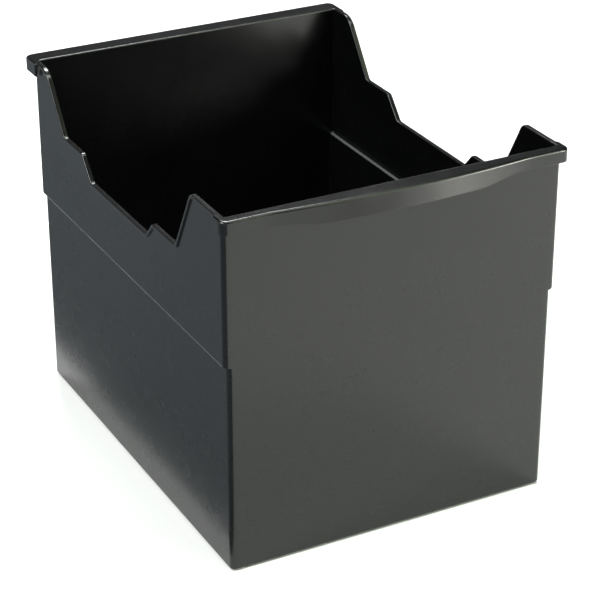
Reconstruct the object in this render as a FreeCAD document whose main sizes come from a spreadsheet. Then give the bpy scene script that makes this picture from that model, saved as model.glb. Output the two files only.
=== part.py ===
import FreeCAD, Part
import math
import os
import re
import Sketcher
from FreeCAD import Placement, Rotation, Vector

# A desk tray for a card file: one open moulded box with tall front and back walls, low stepped side
# walls with a rolled rim, and a sliding card support that a brake holds anywhere along the floor.
#
# Millimetres.  +X is to the right, +Y is to the back, +Z is up.  The origin lies on the table,
# under the middle of the box.  Cards stand across the box, between the front wall and the support.

SIZES = {
    # how far a cutter runs past the face it opens, and how deep a raised shape is rooted
    "cutter_over": 1.0,
    "root_sink": 1.0,
    # the box
    "box_width": 218.0,
    "box_depth": 280.0,
    "box_height": 232.0,
    "wall": 2.4,
    "floor_plate": 2.6,
    "table_gap": 0.8,
    "corner_radius": 3.0,
    "ledge_height": 138.0,
    "ledge_step": 2.4,
    # the stepped top of the side walls, as runs along Y and heights above the table
    "front_post": 40.0,
    "front_slope": 22.5,
    "front_sill": 32.5,
    "front_step": 9.5,
    "back_post": 22.0,
    "back_slope": 27.0,
    "back_sill": 29.0,
    "back_step": 13.5,
    "sill_height": 180.0,
    "front_rise": 10.5,
    "back_rise": 15.0,
    "front_round": 6.0,
    "back_round": 14.0,
    "sill_round": 3.0,
    # the rim
    "rim_width": 1.0,
    "rim_plate": 2.2,
    "lip_skirt": 9.6,
    "lip_plate": 2.2,
    "lip_end": 2.6,
    "lip_reach": 3.4,
    "lip_corner": 3.6,
    "lip_edge": 0.5,
    "front_lip": 5.0,
    "grip_bow": 6.6,
    "grip_length": 170.0,
    "back_lip": 11.6,
    # the feet
    "foot_radius": 7.0,
    "foot_recess": 1.2,
    "foot_inset": 16.0,
    # the track along the floor
    "track_width": 26.0,
    "track_plate": 1.2,
    "track_lift": 5.0,
    "track_end_gap": 8.0,
    "rail_inner": 4.0,
    "rail_wall": 3.0,
    "screw_inset": 4.6,
    "screw_shank": 1.45,
    "screw_hole": 1.7,
    "screw_head": 2.6,
    "screw_sink": 1.05,
    "screw_depth": 5.0,
    "boss_radius": 5.0,
    "card_rib": 2.0,
    "inner_rib_place": 44.0,
    "outer_rib_place": 88.0,
    # the carriage
    "slide_gap": 0.4,
    "carriage_width": 50.0,
    "carriage_length": 44.0,
    "carriage_gap": 7.6,
    "carriage_lift": 1.0,
    "deck_height": 16.0,
    "hook_bite": 3.6,
    "ear": 4.0,
    "ear_radius": 5.5,
    "stop_bar": 3.5,
    "stop_width": 12.0,
    "stop_gap": 0.35,
    "lug_flank": 0.96,
    "window_gap": 2.0,
    # the hinge of the support plate
    "hinge_pin": 2.0,
    "hinge_height": 20.5,
    "hinge_setback": 6.0,
    "knuckle_radius": 4.2,
    "running_gap": 0.05,
    "side_gap": 0.4,
    "clip_radius": 4.0,
    "clip_plate": 0.8,
    "pin_end": 1.2,
    # the support plate
    "plate_width": 196.0,
    "plate_height": 116.0,
    "plate_skirt": 9.6,
    "plate": 2.4,
    "plate_lean": 15.0,
    "plate_corner": 12.0,
    "plate_gap": 2.5,
    "notch_radius": 22.0,
    "notch_raise": 7.0,
    "rib": 2.0,
    "rib_depth": 4.0,
    # the brake
    "brake_pin": 1.5,
    "brake_height": 19.5,
    "brake_setback": 32.0,
    "brake_width": 12.0,
    "brake_ear": 3.0,
    "brake_boss": 3.4,
    "belly_place": 3.1,
    "belly_drop": 1.0,
    "shoe_length": 8.0,
    "shoe_plate": 1.5,
    "shoe_gap": 0.15,
    "shoe_inset": 0.5,
    "shoe_setback": 1.0,
    "tab_length": 13.0,
    "tab_rise": 6.5,
    "tab_plate": 2.2,
    "tab_bevel": 1.0,
    "spring_wire": 0.35,
    "spring_radius": 2.4,
    "spring_pitch": 0.8,
    "spring_turns": 3.5,
}


def bound(text):
    """The formula text with every size's name pointing at its cell in the spreadsheet."""
    def point_at_cell(word):
        name = word.group()
        return "Sizes." + name if name in SIZES else name
    return re.sub(r"[a-z]+(?:_[a-z]+)*", point_at_cell, text)


def number(text):
    """The present value of a formula of sizes."""
    return float(sheet.evalExpression(bound(text)))


def make_sheet(document):
    """The spreadsheet of sizes: names in column A, plain numbers in column B."""
    cells = document.addObject("Spreadsheet::Sheet", "Sizes")
    for row, (name, value) in enumerate(SIZES.items(), start=1):
        cells.set("A%d" % row, name)
        cells.set("B%d" % row, str(value))
        cells.setAlias("B%d" % row, name)
    document.recompute()
    return cells


def new_body(label):
    body = doc.addObject("PartDesign::Body", label)
    body.Label = label
    return body


def new_sketch(body, role, name, offset="0"):
    """An empty sketch on one of the body's origin planes, moved along the plane's normal."""
    sketch = body.newObject("Sketcher::SketchObject", name)
    plane = [feature for feature in body.Origin.OriginFeatures if feature.Role == role][0]
    sketch.AttachmentSupport = [(plane, "")]
    sketch.MapMode = "FlatFace"
    sketch.setExpression(".AttachmentOffset.Base.z", bound(offset))
    return sketch


def pin_point(sketch, geometry, vertex, across, up):
    """Hold one vertex at a place given by two formulas."""
    for kind, formula in (("DistanceX", across), ("DistanceY", up)):
        index = sketch.addConstraint(
            Sketcher.Constraint(kind, -1, 1, geometry, vertex, number(formula)))
        sketch.setExpression("Constraints[%d]" % index, bound(formula))


def bowed_arc(start, end, radius):
    """The short arc from start to end that bends to the right of the way it is drawn."""
    chord = end - start
    middle = (start + end) * 0.5
    away = Vector(chord.y, -chord.x, 0).normalize()
    depth = radius - math.sqrt(radius ** 2 - chord.Length ** 2 / 4)
    return Part.ArcOfCircle(start, middle + away * depth, end)


def outline(sketch, points, arcs=None):
    """A closed outline through points, each a pair of formulas.  arcs gives the radius of each
    side that is an arc, by the number of the point it starts at."""
    arcs = arcs or {}
    places = [Vector(number(across), number(up), 0) for across, up in points]
    first = sketch.GeometryCount
    starts = []
    for side, start in enumerate(places):
        end = places[(side + 1) % len(places)]
        if side in arcs:
            geometry = sketch.addGeometry(bowed_arc(start, end, number(arcs[side])), False)
            radius = sketch.addConstraint(
                Sketcher.Constraint("Radius", geometry, number(arcs[side])))
            sketch.setExpression("Constraints[%d]" % radius, bound(arcs[side]))
            curve = sketch.Geometry[geometry]
            starts.append(1 if curve.StartPoint.distanceToPoint(start) < NEAR else 2)
        else:
            sketch.addGeometry(Part.LineSegment(start, end), False)
            starts.append(1)
    for side, (across, up) in enumerate(points):
        before = (side - 1) % len(points)
        sketch.addConstraint(Sketcher.Constraint(
            "Coincident", first + before, 3 - starts[before], first + side, starts[side]))
        pin_point(sketch, first + side, starts[side], across, up)


def rectangle(sketch, left, right, low, high):
    outline(sketch, [(left, low), (right, low), (right, high), (left, high)])


def circle(sketch, across, up, radius):
    centre = Vector(number(across), number(up), 0)
    geometry = sketch.addGeometry(Part.Circle(centre, Vector(0, 0, 1), number(radius)), False)
    pin_point(sketch, geometry, 3, across, up)
    index = sketch.addConstraint(Sketcher.Constraint("Radius", geometry, number(radius)))
    sketch.setExpression("Constraints[%d]" % index, bound(radius))


def add_solid(body, sketch, length, both_ways=False, backwards=False):
    """Pad a sketch by a length and check that the body grew."""
    return raise_or_cut(body, sketch, "PartDesign::Pad", length, both_ways, backwards)


def cut_solid(body, sketch, length, both_ways=False, backwards=False):
    """Pocket a sketch by a length and check that the body shrank."""
    return raise_or_cut(body, sketch, "PartDesign::Pocket", length, both_ways, backwards)


def raise_or_cut(body, sketch, kind, length, both_ways, backwards):
    before = body.Shape.Volume if body.Tip else 0.0
    feature = body.newObject(kind, sketch.Label + "_" + kind[12:].lower())
    feature.Profile = sketch
    feature.SideType = "Symmetric" if both_ways else "One side"
    feature.Reversed = backwards
    feature.setExpression("Length", bound(length))
    doc.recompute()
    grew = body.Shape.Volume - before
    wanted = 1 if kind.endswith("Pad") else -1
    if grew * wanted <= 1e-3:
        raise RuntimeError("%s changed nothing: %g" % (feature.Label, grew))
    return feature


def round_edges(body, name, radius, chosen, count):
    """Fillet the body's edges that the test picks out; there must be as many as expected."""
    base = body.Tip
    names = ["Edge%d" % (index + 1) for index, edge in enumerate(base.Shape.Edges) if chosen(edge)]
    if len(names) != count:
        raise RuntimeError("%s found %d edges, not %d" % (name, len(names), count))
    feature = body.newObject("PartDesign::Fillet", name)
    feature.Base = (base, names)
    feature.setExpression("Radius", bound(radius))
    doc.recompute()
    return feature


def runs_along(edge, axis):
    """True for a straight edge parallel to a unit axis."""
    if not isinstance(edge.Curve, Part.Line):
        return False
    return abs(abs(edge.Curve.Direction.dot(axis)) - 1) < PARALLEL


def middle_of(edge):
    return edge.valueAt((edge.FirstParameter + edge.LastParameter) / 2)


def passes(edge, **place):
    """True if the edge's middle has the coordinates given, within a hundredth."""
    middle = middle_of(edge)
    return all(abs(getattr(middle, axis) - value) < NEAR for axis, value in place.items())


X, Y, Z = Vector(1, 0, 0), Vector(0, 1, 0), Vector(0, 0, 1)
NEAR = 0.01
PARALLEL = 1e-6

# Formulas that several pieces share.
HALF_WIDTH = "box_width / 2"
HALF_DEPTH = "box_depth / 2"
UPPER_HALF = "(box_width / 2 + ledge_step)"
INNER_HALF = "(box_width / 2 - wall)"
INNER_DEPTH = "(box_depth / 2 - wall)"
FLOOR = "(table_gap + floor_plate)"
TRACK_UNDER = "(table_gap + floor_plate + track_lift)"
TRACK_TOP = "(table_gap + floor_plate + track_lift + track_plate)"
TRACK_END = "(box_depth / 2 - wall - track_end_gap)"
CARRIAGE_FRONT = "(carriage_gap + wall - box_depth / 2)"
HINGE_Y = "(carriage_gap + wall - box_depth / 2 + hinge_setback)"
BRAKE_Y = "(carriage_gap + wall - box_depth / 2 + brake_setback)"
# How far the stop's top stands above the hinge, so that the leaning plate comes to rest on it.
STOP_RISE = ("((knuckle_radius + side_gap - stop_gap - plate / (2 * cos(plate_lean)))"
             " / tan(plate_lean))")


def half_angle(rise, run):
    """The tangent of half the angle of a slope, by which its offset corners shift."""
    return "((sqrt((%s)^2 + (%s)^2) - (%s)) / (%s))" % (rise, run, run, rise)


def rim_corners():
    """The corners of the side wall's top, from the front to the back.  Each is (y, z, shift): the
    rim's underside has its corner one rim_plate lower and shift times a rim_plate further back."""
    front_top = "(-box_depth / 2 + front_post)"
    front_foot = "(-box_depth / 2 + front_post + front_slope)"
    front_edge = "(-box_depth / 2 + front_post + front_slope + front_sill)"
    front_end = "(-box_depth / 2 + front_post + front_slope + front_sill + front_step)"
    back_end = "(box_depth / 2 - back_post - back_slope - back_sill - back_step)"
    back_edge = "(box_depth / 2 - back_post - back_slope - back_sill)"
    back_foot = "(box_depth / 2 - back_post - back_slope)"
    back_top = "(box_depth / 2 - back_post)"
    front_level = "(sill_height + front_rise)"
    back_level = "(sill_height + back_rise)"
    tall_front = half_angle("box_height - sill_height - front_rise", "front_slope")
    tall_back = half_angle("box_height - sill_height - back_rise", "back_slope")
    low_front = half_angle("front_rise", "front_step")
    low_back = half_angle("back_rise", "back_step")
    return [(front_top, "box_height", "-" + tall_front),
            (front_foot, front_level, "-" + tall_front),
            (front_edge, front_level, "-" + low_front),
            (front_end, "sill_height", "-" + low_front),
            (back_end, "sill_height", low_back),
            (back_edge, back_level, low_back),
            (back_foot, back_level, tall_back),
            (back_top, "box_height", tall_back)]


def under_rim(corner):
    """The place of a rim corner on the rim's underside."""
    along, up, shift = corner
    return "(%s) + (%s) * rim_plate" % (along, shift), "(%s) - rim_plate" % up


def lip_outline(side, overhang, inset, bow):
    """The plan of a lip around an end wall.  side is -1 at the front and 1 at the back."""
    end = "(%s + lip_end - %s)" % (UPPER_HALF, inset)
    outer = "(%d * (%s + %s - %s))" % (side, HALF_DEPTH, overhang, inset)
    inner = "(%d * (%s - lip_reach + %s))" % (side, HALF_DEPTH, inset)
    if not bow:
        return [("-" + end, inner), ("-" + end, outer), (end, outer), (end, inner)], {}
    points = [("-" + end, inner), ("-" + end, outer), ("-grip_length / 2", outer),
              ("grip_length / 2", outer), (end, outer), (end, inner)]
    radius = "((grip_length^2 / 4 + grip_bow^2) / (2 * grip_bow))"
    return points, {2: radius}


def add_lip(body, side, overhang, bow):
    """A lip across an end wall: a plate on top and a skirt that hangs from its edge."""
    name = "front" if side < 0 else "back"
    plate = new_sketch(body, "XY_Plane", name + "_lip_plan", "box_height - lip_plate")
    outline(plate, *lip_outline(side, overhang, "0", bow))
    add_solid(body, plate, "lip_plate")
    skirt = new_sketch(body, "XY_Plane", name + "_skirt_plan", "box_height - lip_skirt")
    outline(skirt, *lip_outline(side, overhang, "0", bow))
    outline(skirt, *lip_outline(side, overhang, "wall", bow))
    add_solid(body, skirt, "lip_skirt - lip_plate / 2")
    outer = side * number("%s + %s" % (HALF_DEPTH, overhang))
    end = number("%s + lip_end" % UPPER_HALF)
    round_edges(body, name + "_lip_corners", "lip_corner", lambda edge: runs_along(edge, Z)
                and abs(abs(edge.Vertexes[0].X) - end) < NEAR
                and abs(edge.Vertexes[0].Y - outer) < NEAR, 2)
    top = number("box_height")
    behind = number("%s - lip_reach" % HALF_DEPTH) + NEAR
    round_edges(body, name + "_lip_edge", "lip_edge", lambda edge: passes(edge, z=top)
                and side * middle_of(edge).y > behind, 7 if bow else 5)


def make_box():
    """The moulded box, made as a block, cut to its stepped outline, then hollowed."""
    body = new_body("tray_body")
    lower = new_sketch(body, "XY_Plane", "lower_plan", "table_gap")
    rectangle(lower, "-" + HALF_WIDTH, HALF_WIDTH, "-" + HALF_DEPTH, HALF_DEPTH)
    add_solid(body, lower, "ledge_height - table_gap")
    round_edges(body, "lower_corners", "corner_radius", lambda edge: runs_along(edge, Z), 4)
    upper = new_sketch(body, "XY_Plane", "upper_plan", "ledge_height")
    rectangle(upper, "-" + UPPER_HALF, UPPER_HALF, "-" + HALF_DEPTH, HALF_DEPTH)
    add_solid(body, upper, "box_height - ledge_height")
    widest = number(UPPER_HALF)
    round_edges(body, "upper_corners", "corner_radius", lambda edge: runs_along(edge, Z)
                and abs(abs(edge.Vertexes[0].X) - widest) < NEAR, 4)

    corners = rim_corners()
    above = new_sketch(body, "YZ_Plane", "side_opening")
    opening = [(along, up) for along, up, shift in corners]
    outline(above, opening[::-1])
    cut_solid(body, above, "2 * (%s + cutter_over)" % UPPER_HALF, both_ways=True)
    strip = new_sketch(body, "YZ_Plane", "rim_outline")
    ends = [("-" + HALF_DEPTH, "box_height")] + opening + [(HALF_DEPTH, "box_height")]
    under = [(HALF_DEPTH, "box_height - rim_plate")]
    under += [under_rim(corner) for corner in corners[::-1]]
    under += [("-" + HALF_DEPTH, "box_height - rim_plate")]
    outline(strip, ends + under)
    add_solid(body, strip, "2 * (%s + rim_width)" % UPPER_HALF, both_ways=True)

    top_rounds = {0: "front_round", 2: "sill_round", 5: "sill_round", 7: "back_round"}
    for index, radius in top_rounds.items():
        along, up, shift = corners[index]
        place = {"y": number(along), "z": number(up)}
        round_edges(body, "rim_round_%d" % index, radius,
                    lambda edge: runs_along(edge, X) and passes(edge, **place), 1)
        low_along, low_up = under_rim(corners[index])
        low = {"y": number(low_along), "z": number(low_up)}
        round_edges(body, "rim_under_%d" % index, radius + " - rim_plate",
                    lambda edge: runs_along(edge, X) and passes(edge, **low), 2)

    add_lip(body, -1, "front_lip", True)
    add_lip(body, 1, "back_lip", False)
    hollow_box(body)
    add_floor_details(body)


def hollow_box(body):
    """Cut the inside: a wider space above the ledges and the card space below them."""
    above = new_sketch(body, "XY_Plane", "space_above_ledge", "box_height + cutter_over")
    rectangle(above, "-" + HALF_WIDTH, HALF_WIDTH, "-" + INNER_DEPTH, INNER_DEPTH)
    cut_solid(body, above, "box_height + cutter_over - ledge_height - wall")
    below = new_sketch(body, "XY_Plane", "card_space", "ledge_height + wall + cutter_over")
    rectangle(below, "-" + INNER_HALF, INNER_HALF, "-" + INNER_DEPTH, INNER_DEPTH)
    cut_solid(body, below, "ledge_height + wall + cutter_over - %s" % FLOOR)


def add_floor_details(body):
    """Two rails and two screw bosses that carry the track, four ribs that hold the cards up level
    with it, and recesses for the feet."""
    rails = new_sketch(body, "XY_Plane", "rails_plan", FLOOR)
    for side in ("-", ""):
        edges = sorted((side + "rail_inner", side + "(rail_inner + rail_wall)"), key=number)
        rectangle(rails, edges[0], edges[1], "-" + TRACK_END, TRACK_END)
    add_solid(body, rails, "track_lift")
    ribs = new_sketch(body, "XY_Plane", "card_ribs_plan", FLOOR)
    for place in ("inner_rib_place", "outer_rib_place"):
        for low, high in ((place, place + " + card_rib"), ("-%s - card_rib" % place, "-" + place)):
            rectangle(ribs, low, high, "-" + TRACK_END, TRACK_END)
    add_solid(body, ribs, "track_lift + track_plate")
    bosses = new_sketch(body, "XY_Plane", "boss_plan", FLOOR)
    pilots = new_sketch(body, "XY_Plane", "pilot_plan", TRACK_UNDER)
    for side in ("-", ""):
        middle = side + "(%s - screw_inset)" % TRACK_END
        circle(bosses, "0", middle, "boss_radius")
        circle(pilots, "0", middle, "screw_shank")
    add_solid(body, bosses, "track_lift")
    cut_solid(body, pilots, "screw_depth")
    recesses = new_sketch(body, "XY_Plane", "foot_recesses", "table_gap")
    for across in ("-", ""):
        for along in ("-", ""):
            circle(recesses, across + "(%s - foot_inset)" % HALF_WIDTH,
                   along + "(%s - foot_inset)" % HALF_DEPTH, "foot_radius")
    cut_solid(body, recesses, "foot_recess", backwards=True)


def make_feet():
    """Four soft feet pressed into the recesses under the box."""
    places = {"front_left_foot": ("-", "-"), "front_right_foot": ("", "-"),
              "back_left_foot": ("-", ""), "back_right_foot": ("", "")}
    for label, (across, along) in places.items():
        foot = doc.addObject("Part::Cylinder", label)
        foot.setExpression("Radius", bound("foot_radius"))
        foot.setExpression("Height", bound("table_gap + foot_recess"))
        foot.setExpression("Placement.Base.x", bound(across + "(%s - foot_inset)" % HALF_WIDTH))
        foot.setExpression("Placement.Base.y", bound(along + "(%s - foot_inset)" % HALF_DEPTH))


def make_track():
    """The steel strip that lies on the rails; the carriage hooks under its two edges."""
    body = new_body("guide_track")
    plan = new_sketch(body, "XY_Plane", "strip_plan", TRACK_UNDER)
    rectangle(plan, "-track_width / 2", "track_width / 2", "-" + TRACK_END, TRACK_END)
    for side in ("-", ""):
        circle(plan, "0", side + "(%s - screw_inset)" % TRACK_END, "screw_hole")
    add_solid(body, plan, "track_plate")
    top = number(TRACK_TOP)
    base = body.Tip
    rims = ["Edge%d" % (index + 1) for index, edge in enumerate(base.Shape.Edges)
            if isinstance(edge.Curve, Part.Circle) and abs(edge.Curve.Center.z - top) < NEAR]
    sink = body.newObject("PartDesign::Chamfer", "countersinks")
    sink.Base = (base, rims)
    sink.setExpression("Size", bound("screw_sink"))


def make_screws():
    """The two countersunk screws that hold the strip down, as one node of two solids."""
    shank = doc.addObject("Part::Cylinder", "screw_shank")
    shank.setExpression("Radius", bound("screw_shank"))
    shank.setExpression("Height", bound("screw_depth"))
    shank.setExpression("Placement.Base.z", bound("%s - screw_depth" % TRACK_UNDER))
    head = doc.addObject("Part::Cone", "screw_head")
    head.setExpression("Radius1", bound("screw_shank"))
    head.setExpression("Radius2", bound("screw_head"))
    head.setExpression("Height", bound("track_plate"))
    head.setExpression("Placement.Base.z", bound(TRACK_UNDER))
    screw = doc.addObject("Part::Fuse", "screw")
    screw.Base = shank
    screw.Tool = head
    doc.recompute()
    screws = doc.addObject("Part::Feature", "track_screws")
    reach = number("%s - screw_inset" % TRACK_END)
    screws.Shape = Part.makeCompound(
        [screw.Shape.translated(Vector(0, side * reach, 0)) for side in (-1, 1)])


def lug_outline(sketch, along, up, radius):
    """A standing lug seen from the side: upright flanks under a round top about a bore."""
    base = "deck_height - root_sink"
    left = "%s - %s * lug_flank" % (along, radius)
    right = "%s + %s * lug_flank" % (along, radius)
    outline(sketch, [(left, base), (right, base), (right, up), (left, up)], {2: radius})


def make_carriage():
    """The moulded slider: a deck over the strip, hooks under it, ears for the hinge pin, a stop
    for the support plate, and two lugs for the brake."""
    body = new_body("follower_carriage")
    low = "(%s + carriage_lift)" % FLOOR
    section = new_sketch(body, "XZ_Plane", "carriage_section", "-" + CARRIAGE_FRONT)
    half = "carriage_width / 2"
    throat = "(track_width / 2 + slide_gap - hook_bite)"
    slot = "(track_width / 2 + slide_gap)"
    slot_low = "(%s - slide_gap)" % TRACK_UNDER
    slot_high = "(%s + slide_gap)" % TRACK_TOP
    right = [(throat, low), (half, low), (half, "deck_height")]
    left = [("-" + half, "deck_height"), ("-" + half, low), ("-" + throat, low)]
    inside = [("-" + throat, slot_low), ("-" + slot, slot_low), ("-" + slot, slot_high),
              (slot, slot_high), (slot, slot_low), (throat, slot_low)]
    outline(section, right + left + inside)
    add_solid(body, section, "carriage_length", backwards=True)

    window = new_sketch(body, "XY_Plane", "brake_window", "deck_height")
    side = "(brake_width / 2 + side_gap)"
    rectangle(window, "-" + side, side,
              "%s - shoe_length - shoe_setback - window_gap" % BRAKE_Y,
              "%s + brake_boss + window_gap" % BRAKE_Y)
    cut_solid(body, window, "deck_height - %s" % slot_high)

    for mark in ("-", ""):
        ear = new_sketch(body, "YZ_Plane", "hinge_ear", mark + "(carriage_width / 2 - ear / 2)")
        lug_outline(ear, HINGE_Y, "hinge_height", "ear_radius")
        add_solid(body, ear, "ear", both_ways=True)
        lug = new_sketch(body, "YZ_Plane", "brake_lug", mark + "(%s + brake_ear / 2)" % side)
        lug_outline(lug, BRAKE_Y, "brake_height", "brake_boss")
        add_solid(body, lug, "brake_ear", both_ways=True)

    stop = new_sketch(body, "XY_Plane", "stop_plan", "deck_height")
    face = "(%s + knuckle_radius + side_gap)" % HINGE_Y
    rectangle(stop, "-stop_width / 2", "stop_width / 2", face, face + " + stop_bar")
    add_solid(body, stop, "hinge_height + %s - deck_height" % STOP_RISE)

    hinge_bore = new_sketch(body, "YZ_Plane", "hinge_bore", "0")
    circle(hinge_bore, HINGE_Y, "hinge_height", "hinge_pin")
    cut_solid(body, hinge_bore, "carriage_width + 2 * cutter_over", both_ways=True)
    brake_bore = new_sketch(body, "YZ_Plane", "brake_bore", "0")
    circle(brake_bore, BRAKE_Y, "brake_height", "brake_pin")
    cut_solid(body, brake_bore, "brake_width + 4 * brake_ear", both_ways=True)


def make_pin(label, radius, half_length, along, up):
    """A plain steel pin lying along X."""
    pin = doc.addObject("Part::Cylinder", label)
    pin.setExpression("Radius", bound(radius))
    pin.setExpression("Height", bound("2 * (%s)" % half_length))
    pin.Placement = Placement(Vector(0, 0, 0), Rotation(Y, 90))
    pin.setExpression("Placement.Base.x", bound("-(%s)" % half_length))
    pin.setExpression("Placement.Base.y", bound(along))
    pin.setExpression("Placement.Base.z", bound(up))


def make_clips():
    """The two push-on rings that keep the hinge pin in the ears, as one node of two solids."""
    rings = []
    outer = number("carriage_width / 2 + running_gap")
    for side in (-1, 1):
        ring = Part.makeCylinder(number("clip_radius"), number("clip_plate"), Vector(0, 0, 0), X)
        bore = Part.makeCylinder(number("hinge_pin"), number("clip_plate"), Vector(0, 0, 0), X)
        start = outer if side > 0 else -outer - number("clip_plate")
        place = Vector(start, number(HINGE_Y), number("hinge_height"))
        rings.append(ring.cut(bore).translated(place))
    clips = doc.addObject("Part::Feature", "hinge_clips")
    clips.Shape = Part.makeCompound(rings)


def make_support():
    """The plate that the cards lean on, drawn upright about its hinge and then leaned back."""
    body = new_body("support_plate")
    face = new_sketch(body, "XZ_Plane", "plate_outline", "-plate / 2")
    half = "plate_width / 2"
    clear = "(carriage_width / 2 + clip_plate + pin_end + plate_gap)"
    web = "(carriage_width / 2 - ear - side_gap - plate_gap)"
    over = "(ear_radius + plate_gap)"
    outline(face, [("-" + half, "-plate_skirt"), ("-" + clear, "-plate_skirt"), ("-" + clear, over),
                   ("-" + web, over), ("-" + web, "0"), (web, "0"), (web, over), (clear, over),
                   (clear, "-plate_skirt"), (half, "-plate_skirt"), (half, "plate_height"),
                   ("-" + half, "plate_height")])
    add_solid(body, face, "plate")
    top = number("plate_height")
    round_edges(body, "plate_corners", "plate_corner", lambda edge: runs_along(edge, Y)
                and abs(edge.Vertexes[0].Z - top) < NEAR, 2)
    rib_foot = "(%s / cos(plate_lean) + plate_gap)" % STOP_RISE
    ribs = new_sketch(body, "XY_Plane", "rib_plan", rib_foot)
    for middle in ("-plate_width / 3", "0", "plate_width / 3"):
        rectangle(ribs, "%s - rib / 2" % middle, "%s + rib / 2" % middle,
                  "plate / 2 - root_sink", "plate / 2 + rib_depth")
    add_solid(body, ribs, "plate_height - notch_radius - %s" % rib_foot)
    notch = new_sketch(body, "XZ_Plane", "finger_notch", "0")
    circle(notch, "0", "plate_height + notch_raise", "notch_radius")
    cut_solid(body, notch, "plate + 2 * cutter_over", both_ways=True)
    knuckle = new_sketch(body, "YZ_Plane", "knuckle", "0")
    circle(knuckle, "0", "0", "knuckle_radius")
    add_solid(body, knuckle, "carriage_width - 2 * ear - 2 * side_gap", both_ways=True)
    bore = new_sketch(body, "YZ_Plane", "knuckle_bore", "0")
    circle(bore, "0", "0", "hinge_pin + running_gap")
    cut_solid(body, bore, "carriage_width", both_ways=True)
    body.Placement = Placement(Vector(0, 0, 0), Rotation(X, -number("plate_lean")))
    body.setExpression("Placement.Base.y", bound(HINGE_Y))
    body.setExpression("Placement.Base.z", bound("hinge_height"))


def make_brake():
    """The lever, drawn about its pin: an arm down to the shoe and a tab to press at the back."""
    body = new_body("brake_lever")
    side = new_sketch(body, "YZ_Plane", "lever_outline", "0")
    drop = "(%s + shoe_gap + shoe_plate - brake_height)" % TRACK_TOP
    toe = "(-shoe_length - shoe_setback)"
    outline(side, [(toe, drop), ("-shoe_setback", drop), ("belly_place", "-belly_drop"),
                   ("brake_boss + tab_length", "tab_rise"),
                   ("brake_boss + tab_length - tab_bevel", "tab_rise + tab_plate"),
                   ("0", "brake_boss"), ("-brake_boss", "0"), (toe, drop + " + tab_plate")])
    add_solid(body, side, "brake_width", both_ways=True)
    coil_room = new_sketch(body, "YZ_Plane", "coil_room", "brake_width / 2")
    circle(coil_room, "0", "0", "brake_boss + cutter_over")
    cut_solid(body, coil_room, "spring_pitch * spring_turns + 2 * spring_wire + side_gap")
    bore = new_sketch(body, "YZ_Plane", "lever_bore", "0")
    circle(bore, "0", "0", "brake_pin + running_gap")
    cut_solid(body, bore, "brake_width + 2 * cutter_over", both_ways=True)
    body.setExpression("Placement.Base.y", bound(BRAKE_Y))
    body.setExpression("Placement.Base.z", bound("brake_height"))

    shoe = doc.addObject("Part::Box", "brake_shoe")
    shoe.setExpression("Length", bound("brake_width - 2 * shoe_inset"))
    shoe.setExpression("Width", bound("shoe_length"))
    shoe.setExpression("Height", bound("shoe_plate"))
    shoe.setExpression("Placement.Base.x", bound("shoe_inset - brake_width / 2"))
    shoe.setExpression("Placement.Base.y", bound("%s - shoe_length - shoe_setback" % BRAKE_Y))
    shoe.setExpression("Placement.Base.z", bound("%s + shoe_gap" % TRACK_TOP))


def make_spring():
    """The coil that turns the brake lever down, wound round the brake pin beside the lever."""
    coil = doc.addObject("Part::Feature", "brake_spring")
    length = number("spring_pitch * spring_turns")
    helix = Part.makeHelix(number("spring_pitch"), length, number("spring_radius"))
    wire = Part.makeCircle(number("spring_wire"), Vector(number("spring_radius"), 0, 0), Y)
    pipe = Part.Wire(helix.Edges).makePipeShell([Part.Wire(wire)], True, True)
    coil.Shape = pipe
    start = number("brake_width / 2 - spring_pitch * spring_turns - spring_wire")
    place = Vector(start, number(BRAKE_Y), number("brake_height"))
    coil.Placement = Placement(place, Rotation(Y, 90))


def check_and_write(labels):
    """Stop if any object failed or any piece is not a valid solid, then write the pieces."""
    for item in doc.Objects:
        if "Invalid" in item.State or "Error" in item.State:
            raise RuntimeError("%s failed: %s" % (item.Label, item.State))
    os.makedirs("parts", exist_ok=True)
    for label in labels:
        shape = doc.getObjectsByLabel(label)[0].Shape
        if shape.isNull() or not shape.isValid() or not shape.Solids:
            raise RuntimeError("%s is not a valid solid" % label)
        shape.exportStep(os.path.join("parts", label + ".step"))
        box = shape.BoundBox
        print("%-20s %d solids %9.1f mm3  x %.1f %.1f  y %.1f %.1f  z %.1f %.1f" % (
            label, len(shape.Solids), shape.Volume, box.XMin, box.XMax, box.YMin, box.YMax,
            box.ZMin, box.ZMax))


NODES = [
    "tray_body", "front_left_foot", "front_right_foot", "back_left_foot", "back_right_foot",
    "guide_track", "track_screws", "follower_carriage", "hinge_pin", "hinge_clips",
    "support_plate", "brake_lever", "brake_shoe", "brake_pin", "brake_spring",
]

doc = FreeCAD.newDocument("card_file_tray")
sheet = make_sheet(doc)
make_box()
make_feet()
make_track()
make_screws()
make_carriage()
make_pin("hinge_pin", "hinge_pin", "carriage_width / 2 + clip_plate + pin_end",
         HINGE_Y, "hinge_height")
make_clips()
make_support()
make_brake()
make_pin("brake_pin", "brake_pin", "brake_width / 2 + side_gap + brake_ear",
         BRAKE_Y, "brake_height")
make_spring()
doc.recompute()
check_and_write(NODES)
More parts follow.
